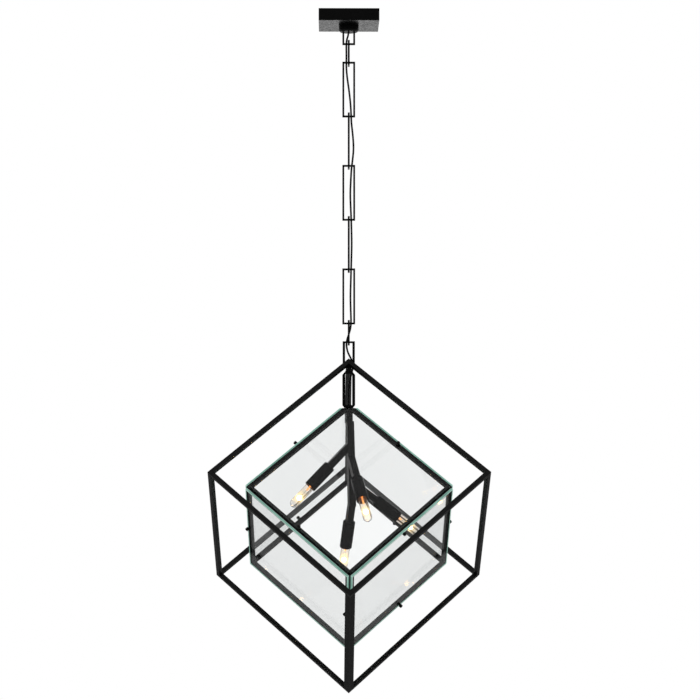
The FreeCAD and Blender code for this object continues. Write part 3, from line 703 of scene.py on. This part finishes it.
knob_profile = [(0.0, -10.5), (SHANK_R, -10.5), (SHANK_R, 0.0), (KNOB_R - 0.5, 0.0), (KNOB_R, 0.5),
                (KNOB_R, 1.0), (KNOB_R, 3.0), (KNOB_R, 5.0), (KNOB_R, 5.4), (KNOB_R - 0.6, KNOB_HEIGHT),
                (1.2, KNOB_HEIGHT), (0.9, KNOB_HEIGHT - 0.4), (0.0, KNOB_HEIGHT - 0.4)]
middle = INNER_SIDE / 2
number = 0
for level, sign in ((0, -1), (INNER_SIDE, 1)):
    for offset in (BAR / 2, INNER_SIDE - BAR / 2):
        for (r, l, b), outward in (((middle, offset, level), BACK * sign),
                                   ((level, middle, offset), RIGHT * sign),
                                   ((offset, level, middle), LEFT * sign)):
            number += 1
            seat = INNER_APEX + RIGHT * r + LEFT * l + BACK * b + outward * PANE
            turn = outward.to_track_quat("Z", "Y").to_matrix().to_4x4()
            knob = turned(f"glass_knob_{number}", knob_profile, [iron], Matrix.Translation(seat * MM) @ turn,
                          count=72, relief=knurl)
            fit(knob, "cage", "aged_iron", "glass_knobs")


# Stem and arms. Square iron tube that drops from the inner cube's top corner with two
# slight bends, and four square arms welded to it, one to each lamp.
satin_iron = iron_finish("satin_iron", (0.003, 0.003, 0.0032), (0.007, 0.0069, 0.0068), 6.0,
                         (0.28, 0.42), 5.0, 0.008, 0.12)
STEM_KNEES = (Vector((2.0, 0.0, -864.0)), Vector((4.5, 0.0, -945.0)), Vector((6.5, 5.0, -1036.0)))
STEM_TOP_WIDTH = 14.0
STEM_WIDTH = 15.0
ARM_WIDTH = 14.5
ARMS = ((196.0, 45.0, -912.5, 64.0), (286.0, 45.0, -940.0, 61.0),
        (16.0, 36.6, -990.5, 67.0), (106.0, 64.4, -1036.0, 44.0))
UP = Vector((0, 0, 1))


def direction_of(azimuth, dip):
    level = math.cos(math.radians(dip))
    return Vector((level * math.cos(math.radians(azimuth)), level * math.sin(math.radians(azimuth)),
                   -math.sin(math.radians(dip))))


def square_ring_at(centre, along, across, width):
    """Four corners of a square section, cut square to its run."""
    across = (across - along * across.dot(along)).normalized()
    third = along.cross(across)
    half = width / 2
    return [centre + across * (half * a) + third * (half * b)
            for a, b in ((-1, -1), (1, -1), (1, 1), (-1, 1))]


def stem_point(height):
    for upper, lower in zip(STEM_KNEES, STEM_KNEES[1:]):
        if height >= lower.z:
            share = (upper.z - height) / (upper.z - lower.z)
            return upper + (lower - upper) * share
    return STEM_KNEES[-1].copy()


sideways = direction_of(ARMS[0][0] + 90, 0)
down = -UP
top_rings = [square_ring_at(Vector((0, 0, z)), down, sideways, STEM_TOP_WIDTH)
             for z in (SAW_Z - 1.5, -868.0)]
upper_stem = new_piece("stem_upper", *loft(top_rings, False), [satin_iron, iron_edge])
ease_edges(upper_stem, 0.6)
fit(upper_stem, "cage", "aged_iron", "lamp_stem")
first_run = (STEM_KNEES[1] - STEM_KNEES[0]).normalized()
second_run = (STEM_KNEES[2] - STEM_KNEES[1]).normalized()
stem_rings = [square_ring_at(STEM_KNEES[0], first_run, sideways, STEM_WIDTH),
              square_ring_at(STEM_KNEES[1], (first_run + second_run).normalized(), sideways, STEM_WIDTH),
              square_ring_at(STEM_KNEES[2], second_run, sideways, STEM_WIDTH),
              square_ring_at(STEM_KNEES[2] + down * (STEM_WIDTH / 2), down, sideways, STEM_WIDTH)]
stem = new_piece("stem_lower", *loft(stem_rings, False), [satin_iron, iron_edge])
ease_edges(stem, 0.6)
fit(stem, "cage", "aged_iron", "lamp_stem")

lamp_places = []
for number, (azimuth, dip, height, length) in enumerate(ARMS, 1):
    start = stem_point(height)
    along = direction_of(azimuth, dip)
    end = start + along * length
    arm_rings = [square_ring_at(point, along, along.cross(UP), ARM_WIDTH)
                 for point in (start + along * 2, end)]
    arm = new_piece(f"lamp_arm_{number}", *loft(arm_rings, False), [satin_iron, iron_edge])
    ease_edges(arm, 0.6)
    fit(arm, "cage", "aged_iron", "lamp_arms")
    turn = along.to_track_quat("Z", "Y").to_matrix().to_4x4()
    lamp_places.append(Matrix.Translation(end * MM) @ turn)


# Socket cups and inserts. A turned iron cup with a chamfered shoulder on the end of each
# arm, and in it a black moulded candelabra socket, bored for the lamp's base.
cup_iron = iron_finish("cup_iron", (0.0015, 0.0015, 0.0016), (0.003, 0.003, 0.0029), 8.0,
                       (0.2, 0.32), 5.0, 0.005, 0.04)
phenolic = mottled_finish("black_phenolic", ((0.012, 0.011, 0.01), (0.02, 0.018, 0.016)), 3.0,
                          (0.32, 0.5), 0.5, 0.01)
CUP_R = 13.0
CUP_LENGTH = 61.0
CUP_INSIDE = 11.8
cup_profile = [(BORE_R, 0.0), (CUP_R - 1.6, 0.0), (CUP_R - 1.4, 0.1), (CUP_R - 0.1, 1.4), (CUP_R, 1.7),
               (CUP_R, CUP_LENGTH - 0.5), (CUP_R - 0.2, CUP_LENGTH - 0.1), (CUP_R - 0.6, CUP_LENGTH),
               (CUP_INSIDE + 0.2, CUP_LENGTH - 0.1), (CUP_INSIDE, CUP_LENGTH - 0.4), (CUP_INSIDE, 2.0),
               (BORE_R, 2.0)]
INSERT_R = 11.0
INSERT_MOUTH = 46.0
insert_profile = [(0.0, 22.0), (BORE_R, 22.0), (BORE_R, 3.0), (INSERT_R - 0.5, 3.0), (INSERT_R, 3.5),
                  (INSERT_R, 45.5), (INSERT_R - 0.5, INSERT_MOUTH), (9.2, INSERT_MOUTH), (9.0, 45.3),
                  (7.6, 45.3), (7.4, INSERT_MOUTH), (6.5, INSERT_MOUTH), (6.05, 45.5), (6.05, 26.0),
                  (0.0, 26.0)]
for number, place in enumerate(lamp_places, 1):
    cup = turned(f"socket_cup_{number}", cup_profile, [cup_iron], place, closed=True, count=64)
    fit(cup, "cage", "aged_iron", "socket_cups")
    insert = turned(f"socket_insert_{number}", insert_profile, [phenolic], place, count=48)
    fit(insert, "cage", "socket_phenolic", "socket_inserts")


# Lamps. Clear tubular lamps with small nickel screw bases; inside each, a glass mount,
# two lead wires and a coiled filament that is lit.
nickel = mottled_finish("nickel_cap", ((0.5, 0.48, 0.44), (0.66, 0.64, 0.6)), 2.0, (0.2, 0.34),
                        0.6, 0.01, metallic=1.0)
BASE_R = 5.9
BASE_TOP = 47.0
base_profile = [(0.0, 27.0), (1.92, 27.0), (3.2, 28.8), (4.2, 29.0), (5.3, 29.4)]
base_profile += [(BASE_R, z) for z in steps(30.0, 43.0, 0.35)]
base_profile += [(BASE_R - 0.2, 43.6), (BASE_R - 0.2, 45.6), (BASE_R, 46.2), (BASE_R, 46.8),
                 (BASE_R - 0.2, BASE_TOP), (0.0, BASE_TOP)]

FILAMENT_AT = 93.0
GLASS_R = 9.5
NECK_R = 5.5
SHOULDER = 53.0
DOME = 108.5
LAMP_TOP = DOME + GLASS_R
WALL = 0.7


def warm_by_height(tree, stops, target):
    """A colour that changes along the lamp, from (height, colour) stops."""
    where = tree.nodes.new("ShaderNodeTexCoord")
    split = tree.nodes.new("ShaderNodeSeparateXYZ")
    scaled = tree.nodes.new("ShaderNodeMapRange")
    scaled.inputs["From Min"].default_value = BASE_TOP * MM
    scaled.inputs["From Max"].default_value = LAMP_TOP * MM
    ramp = tree.nodes.new("ShaderNodeValToRGB")
    tree.links.new(where.outputs["Object"], split.inputs["Vector"])
    tree.links.new(split.outputs["Z"], scaled.inputs["Value"])
    tree.links.new(scaled.outputs["Result"], ramp.inputs["Fac"])
    tree.links.new(ramp.outputs["Color"], target)
    shares = [(height - BASE_TOP) / (LAMP_TOP - BASE_TOP) for height, colour in stops]
    points = ramp.color_ramp.elements
    while len(points) < len(stops):
        points.new(0.5)
    for point, share, (height, colour) in zip(points, shares, stops):
        point.position = share
        point.color = (*colour, 1.0)


lamp_glass, tree, shader = new_finish("lamp_glass")
shader.inputs["Roughness"].default_value = 0.02
shader.inputs["IOR"].default_value = 1.48
shader.inputs["Transmission Weight"].default_value = 1.0
# Painted glow: the lamp glass itself gives off warm light round the filament's height.
shader.inputs["Emission Strength"].default_value = 0.35
# Painted shade: the glass's colour turns dark grey where its surface turns away from view, drawing dark
# outlines round each lamp.
painted_dark_outline = tree.nodes.new("ShaderNodeMix")
painted_dark_outline.data_type = "RGBA"
painted_dark_outline.inputs["B"].default_value = (0.3, 0.29, 0.29, 1.0)
turn_away = tree.nodes.new("ShaderNodeLayerWeight")
turn_away.inputs["Blend"].default_value = 0.3
sharper = tree.nodes.new("ShaderNodeMapRange")
sharper.inputs["From Min"].default_value = 0.25
sharper.inputs["From Max"].default_value = 0.8
tree.links.new(turn_away.outputs["Facing"], sharper.inputs["Value"])
tree.links.new(sharper.outputs["Result"], painted_dark_outline.inputs["Factor"])
# Painted light: the glass's colour turns warm round the filament's height, standing in for the filament's
# light seen in it.
warm_by_height(tree, ((50, (0.98, 0.93, 0.88)), (70, (0.99, 0.96, 0.92)), (84, (1.0, 0.93, 0.8)),
                      (93, (1.0, 0.86, 0.6)), (102, (1.0, 0.93, 0.8)), (112, (0.97, 0.96, 0.955))),
               painted_dark_outline.inputs["A"])
tree.links.new(painted_dark_outline.outputs["Result"], shader.inputs["Base Color"])
# Painted glow colour: warm round the filament, fading to none towards the ends of the lamp.
warm_by_height(tree, ((52, (0.05, 0.02, 0.008)), (78, (0.03, 0.015, 0.006)), (87, (0.35, 0.25, 0.1)),
                      (93, (1.0, 0.8, 0.5)), (99, (0.35, 0.26, 0.14)), (108, (0.0, 0.0, 0.0))),
               shader.inputs["Emission Color"])
shade = tree.nodes.new("ShaderNodeLightPath")
let_through = tree.nodes.new("ShaderNodeBsdfTransparent")
either = tree.nodes.new("ShaderNodeMixShader")
tree.links.new(shade.outputs["Is Shadow Ray"], either.inputs["Fac"])
tree.links.new(shader.outputs["BSDF"], either.inputs[1])
tree.links.new(let_through.outputs["BSDF"], either.inputs[2])
tree.links.new(either.outputs["Shader"], tree.nodes["Material Output"].inputs["Surface"])

mount_glass, tree, shader = new_finish("lamp_mount_glass")
shader.inputs["Roughness"].default_value = 0.08
shader.inputs["Transmission Weight"].default_value = 0.6
# Painted glow: the glass mount gives off orange light, standing in for the filament's light carried down it.
shader.inputs["Emission Strength"].default_value = 0.6
add_two_tones(tree, 3.0, (0.9, 0.72, 0.5), (1.0, 0.82, 0.6), shader.inputs["Base Color"])
warm_by_height(tree, ((48, (0.7, 0.2, 0.03)), (60, (0.9, 0.32, 0.06)), (75, (1.0, 0.5, 0.12))),
               shader.inputs["Emission Color"])

burning, tree, shader = new_finish("burning_filament")
shader.inputs["Base Color"].default_value = (0.2, 0.1, 0.05, 1.0)
shader.inputs["Emission Strength"].default_value = 14.0
warm_by_height(tree, ((70, (1.0, 0.42, 0.1)), (86, (1.0, 0.62, 0.24)), (93, (1.0, 0.72, 0.36)),
                      (100, (1.0, 0.62, 0.24))), shader.inputs["Emission Color"])
burning.cycles.emission_sampling = "NONE"


def tube_rings(points, radius, sides):
    """Rings of a round tube that follows a line of points without twisting."""
    rings = []
    across = Vector((1, 0, 0))
    for k, point in enumerate(points):
        before = points[max(k - 1, 0)]
        after = points[min(k + 1, len(points) - 1)]
        along = (after - before).normalized()
        if abs(across.dot(along)) > 0.95:
            across = Vector((0, 1, 0))
        across = (across - along * across.dot(along)).normalized()
        third = along.cross(across)
        rings.append([point + across * (radius * math.cos(math.tau * s / sides))
                      + third * (radius * math.sin(math.tau * s / sides)) for s in range(sides)])
    return rings


def inside_of(radius, height):
    """The point of the lamp glass's inner skin behind a point of its outer one."""
    if height >= DOME:
        height = DOME + (height - DOME) * (GLASS_R - WALL) / GLASS_R
    return max(radius - WALL, 0.0), height


glass_profile = [(NECK_R, BASE_TOP), (NECK_R + 0.3, 48.0), (7.2, 49.8), (8.7, 51.4),
                 (GLASS_R - 0.15, 52.6), (GLASS_R, SHOULDER + 1.2)]
glass_profile += [(GLASS_R, z) for z in steps(60.0, DOME, 8.0)]
glass_profile += [(GLASS_R * math.cos(a), DOME + GLASS_R * math.sin(a))
                  for a in steps(0.15, math.pi / 2, 0.15)]
inside_profile = [inside_of(radius, height) for radius, height in reversed(glass_profile)]
mount_profile = [(0.0, 47.2), (4.4, 47.2), (3.2, 49.5), (1.9, 53.0), (1.6, 62.0), (2.1, 68.0),
                 (1.5, 71.0), (0.0, 71.6)]
COIL_TURNS = 46
COIL_FOOT = 86
COIL_HALF = 2.8
COIL_RISE = 13.5
WIRE_R = 0.16
LEAD_WIRE_R = 0.22
for number, place in enumerate(lamp_places, 1):
    body = f"lamp_{number}"
    base = turned(f"lamp_cap_{number}", base_profile, [nickel], place, count=40,
                  relief=thread(2.4, 0.55, 30.2, 42.8))
    fit(base, body, "lamp_cap_nickel", f"lamp_base_{number}")
    envelope = turned(f"lamp_envelope_{number}", glass_profile + inside_profile, [lamp_glass], place,
                      closed=True, count=48)
    fit(envelope, body, "lamp_glass", f"lamp_glass_{number}")
    mount = turned(f"lamp_mount_{number}", mount_profile, [mount_glass], place, count=24)
    fit(mount, body, "lamp_glass")
    points, faces = [], []
    for side in (-1, 1):
        line = [Vector((side * x, 0, z)) for x, z in ((1.2, 66), (1.5, 74), (2.6, 80),
                                                      (COIL_HALF, COIL_FOOT))]
        more_points, more_faces = loft(tube_rings(line, LEAD_WIRE_R, 8), False)
        faces += [tuple(corner + len(points) for corner in face) for face in more_faces]
        points += more_points
    leads = new_piece(f"lamp_leads_{number}", points, faces, [nickel], place)
    fit(leads, body, "lamp_cap_nickel")
    coil = []
    for k in range(COIL_TURNS * 8 + 1):
        share = k / (COIL_TURNS * 8)
        spine = Vector((-COIL_HALF + 2 * COIL_HALF * share, 0,
                        COIL_FOOT + COIL_RISE * math.sin(math.pi * share)))
        angle = math.tau * COIL_TURNS * share
        coil.append(spine + Vector((0.25 * math.cos(angle), 0.5 * math.sin(angle), 0.25 * math.cos(angle))))
    filament = new_piece(f"lamp_filament_{number}", *loft(tube_rings(coil, WIRE_R, 5), False),
                         [burning], place)
    filament.visible_glossy = False
    fit(filament, body, "lamp_cap_nickel")
    glow = bpy.data.lights.new(f"lamp_light_{number}", "POINT")
    glow.energy = 0.03
    glow.color = (1.0, 0.62, 0.28)
    glow.shadow_soft_size = 0.006
    glow.cycles.cast_shadow = False
    lit = bpy.data.objects.new(f"lamp_light_{number}", glow)
    lit.matrix_world = place @ Matrix.Translation((0, 0, FILAMENT_AT * MM))
    lit.visible_glossy = False
    bpy.context.scene.collection.objects.link(lit)
    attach(lit, body)


# Cord. A limp black lamp cord, 4 mm across and 825 mm long, that comes out of the stud,
# wanders down through the links, passes behind the top corner and goes into the stem.
jacket = mottled_finish("cord_jacket", ((0.006, 0.006, 0.006), (0.016, 0.016, 0.016)), 2.5,
                        (0.42, 0.6), 0.7, 0.03, specular=0.35)
CORD_R = 2.0
ROUTE = (
    (0.0, 0.0, -34.0), (-0.5, -0.7, -44.0), (-4.6, -4.8, -56.0), (-5.3, -5.5, -70.0),
    (-4.9, -5.7, -90.0), (-5.4, -5.3, -112.0), (-3.7, -3.6, -134.0), (0.6, 0.4, -162.0),
    (4.0, 3.9, -192.0), (5.2, 5.5, -216.0), (5.7, 5.2, -232.0), (8.6, 3.0, -256.0),
    (10.6, -0.5, -286.0), (8.0, -4.0, -312.0), (5.4, -5.5, -332.0), (4.4, -4.6, -352.0),
    (3.0, 0.4, -382.0), (4.2, 4.6, -412.0), (5.3, 5.5, -436.0), (5.9, 4.2, -460.0),
    (6.4, -0.4, -490.0), (5.6, -4.7, -520.0), (4.9, -5.5, -545.0), (4.2, -4.3, -570.0),
    (3.4, 0.3, -600.0), (4.2, 4.5, -630.0), (5.1, 5.4, -652.0), (4.0, 5.2, -667.0),
    (0.0, 5.0, -680.0), (-4.1, 5.1, -692.0), (-5.0, 5.5, -704.0), (-2.0, 6.4, -718.0),
    (4.6, 7.8, -730.0), (9.9, 7.5, -744.0), (7.4, 8.5, -758.0), (1.8, 6.2, -777.0),
    (-0.4, 1.2, -799.0), (0.1, -0.1, -820.0), (0.0, 0.0, -848.0),
)
curve = bpy.data.curves.new("cord_line", "CURVE")
curve.dimensions = "3D"
curve.resolution_u = 10
spline = curve.splines.new("NURBS")
spline.points.add(len(ROUTE) - 1)
for point, spot in zip(spline.points, ROUTE):
    point.co = (*(Vector(spot) * MM), 1.0)
spline.order_u = 3
spline.use_endpoint_u = True
guide = bpy.data.objects.new("cord_line", curve)
bpy.context.scene.collection.objects.link(guide)
bpy.context.view_layer.update()
line = bpy.data.meshes.new_from_object(guide)
samples = [vert.co / MM for vert in line.vertices]
bpy.data.objects.remove(guide)
bpy.data.meshes.remove(line)

# Where the runs meet, at the middle of each link, and each run's length.
MEETS = [ROUTE[0][2], -83.8, -160.8, -270.5, -380.2, -489.9, -599.6, -676.6, ROUTE[-1][2]]


def level_point(height):
    """The point of the cord's line at a height."""
    for upper, lower in zip(samples, samples[1:]):
        if upper.z >= height >= lower.z:
            share = (upper.z - height) / max(upper.z - lower.z, 1e-9)
            return upper + (lower - upper) * share
    return samples[-1].copy()


for number, (top, low) in enumerate(zip(MEETS, MEETS[1:]), 1):
    between = [point for point in samples if low + 0.3 < point.z < top - 0.3]
    path = [level_point(top), *between, level_point(low)]
    run = new_piece(f"black_cord_{number}", *loft(tube_rings(path, CORD_R, 16), False), [jacket])
    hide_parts(f"cord_run_{number}")
    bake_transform(run)


# Studio. A pale floor and backdrop, a bright soft wall behind the lantern, a weaker
# glow from above, and two faint soft boxes in front.
def seen_directly(tree):
    """1 for what the camera sees straight or through glass, 0 in reflections and for lighting."""
    ray = tree.nodes.new("ShaderNodeLightPath")
    sight = tree.nodes.new("ShaderNodeMath")
    sight.operation = "MAXIMUM"
    bounces = tree.nodes.new("ShaderNodeMath")
    bounces.operation = "ADD"
    fresh = tree.nodes.new("ShaderNodeMath")
    fresh.operation = "LESS_THAN"
    fresh.inputs[1].default_value = 0.5
    both = tree.nodes.new("ShaderNodeMath")
    both.operation = "MULTIPLY"
    tree.links.new(ray.outputs["Is Camera Ray"], sight.inputs[0])
    tree.links.new(ray.outputs["Is Transmission Ray"], sight.inputs[1])
    tree.links.new(ray.outputs["Diffuse Depth"], bounces.inputs[0])
    tree.links.new(ray.outputs["Glossy Depth"], bounces.inputs[1])
    tree.links.new(bounces.outputs[0], fresh.inputs[0])
    tree.links.new(sight.outputs[0], both.inputs[0])
    tree.links.new(fresh.outputs[0], both.inputs[1])
    return both.outputs[0]


world = bpy.data.worlds.new("studio")
bpy.context.scene.world = world
world.use_nodes = True
tree = world.node_tree
backdrop = tree.nodes["Background"]


def soft_patch(towards, stops):
    """Brightness of a soft patch of wall in one direction, by the cosine from its middle."""
    where = tree.nodes.new("ShaderNodeTexCoord")
    cosine = tree.nodes.new("ShaderNodeVectorMath")
    cosine.operation = "DOT_PRODUCT"
    cosine.inputs[1].default_value = Vector(towards).normalized()
    ramp = tree.nodes.new("ShaderNodeValToRGB")
    tree.links.new(where.outputs["Generated"], cosine.inputs[0])
    tree.links.new(cosine.outputs["Value"], ramp.inputs["Fac"])
    points = ramp.color_ramp.elements
    while len(points) < len(stops):
        points.new(0.5)
    for point, (position, value) in zip(points, stops):
        point.position = position
        point.color = (value, value, value, 1.0)
    return ramp.outputs["Color"]


wall = soft_patch((0, 1, -0.15), ((0.0, 0.03), (0.45, 0.12), (0.68, 0.35), (0.9, 1.0)))
ceiling = soft_patch((0, -0.2, 1), ((0.0, 0.0), (0.5, 0.12), (0.85, 0.35), (1.0, 0.45)))
total = tree.nodes.new("ShaderNodeMix")
total.data_type = "RGBA"
total.blend_type = "ADD"
total.inputs["Factor"].default_value = 1.0
tree.links.new(wall, total.inputs["A"])
tree.links.new(ceiling, total.inputs["B"])
view_or_light = tree.nodes.new("ShaderNodeMix")
view_or_light.data_type = "RGBA"
view_or_light.inputs["B"].default_value = (1.0, 1.0, 1.0, 1.0)
tree.links.new(seen_directly(tree), view_or_light.inputs["Factor"])
tree.links.new(total.outputs["Result"], view_or_light.inputs["A"])
tree.links.new(view_or_light.outputs["Result"], backdrop.inputs["Color"])

FLOOR_Z = -6.0
FLOOR_HALF = 16.0
floor_mesh = bpy.data.meshes.new("studio_floor")
floor_mesh.from_pydata([(x, y, FLOOR_Z) for x, y in ((-FLOOR_HALF, -FLOOR_HALF), (FLOOR_HALF, -FLOOR_HALF),
                                                     (FLOOR_HALF, FLOOR_HALF), (-FLOOR_HALF, FLOOR_HALF))],
                       [], [(0, 1, 2, 3)])
floor = bpy.data.objects.new("studio_floor", floor_mesh)
bpy.context.scene.collection.objects.link(floor)
floor_paint, tree, shader = new_finish("floor_paint")
shader.inputs["Roughness"].default_value = 0.9
shader.inputs["Emission Strength"].default_value = 0.04
shader.inputs["Emission Color"].default_value = (1.0, 1.0, 1.0, 1.0)
add_two_tones(tree, 400.0, (0.5, 0.5, 0.5), (0.54, 0.54, 0.54), shader.inputs["Base Color"])
white = tree.nodes.new("ShaderNodeEmission")
either = tree.nodes.new("ShaderNodeMixShader")
tree.links.new(seen_directly(tree), either.inputs["Fac"])
tree.links.new(shader.outputs["BSDF"], either.inputs[1])
tree.links.new(white.outputs["Emission"], either.inputs[2])
tree.links.new(either.outputs["Shader"], tree.nodes["Material Output"].inputs["Surface"])
floor_mesh.materials.append(floor_paint)
floor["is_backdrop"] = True

for name, spot, energy in (("soft_box_left", (-2.6, -1.6, 0.4), 0.6),
                           ("soft_box_right", (2.8, -1.2, 0.2), 0.5)):
    panel = bpy.data.lights.new(name, "AREA")
    panel.size = 1.8
    panel.energy = energy
    box = bpy.data.objects.new(name, panel)
    box.location = spot
    aim = Vector((0, 0, -0.9)) - Vector(spot)
    box.rotation_euler = aim.to_track_quat("-Z", "Y").to_euler()
    box.visible_camera = False
    bpy.context.scene.collection.objects.link(box)

bpy.context.scene.view_settings.view_transform = "Standard"
camera_data = bpy.data.cameras.new("camera")
camera_data.sensor_width = 36.0
camera_data.lens = 102.5
camera = bpy.data.objects.new("camera", camera_data)
camera.location = (-0.036, -4.203, -0.846)
camera.rotation_euler = (math.radians(90 + 1.815), 0.0, math.radians(-0.527))
bpy.context.scene.collection.objects.link(camera)
bpy.context.scene.camera = camera

low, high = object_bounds()
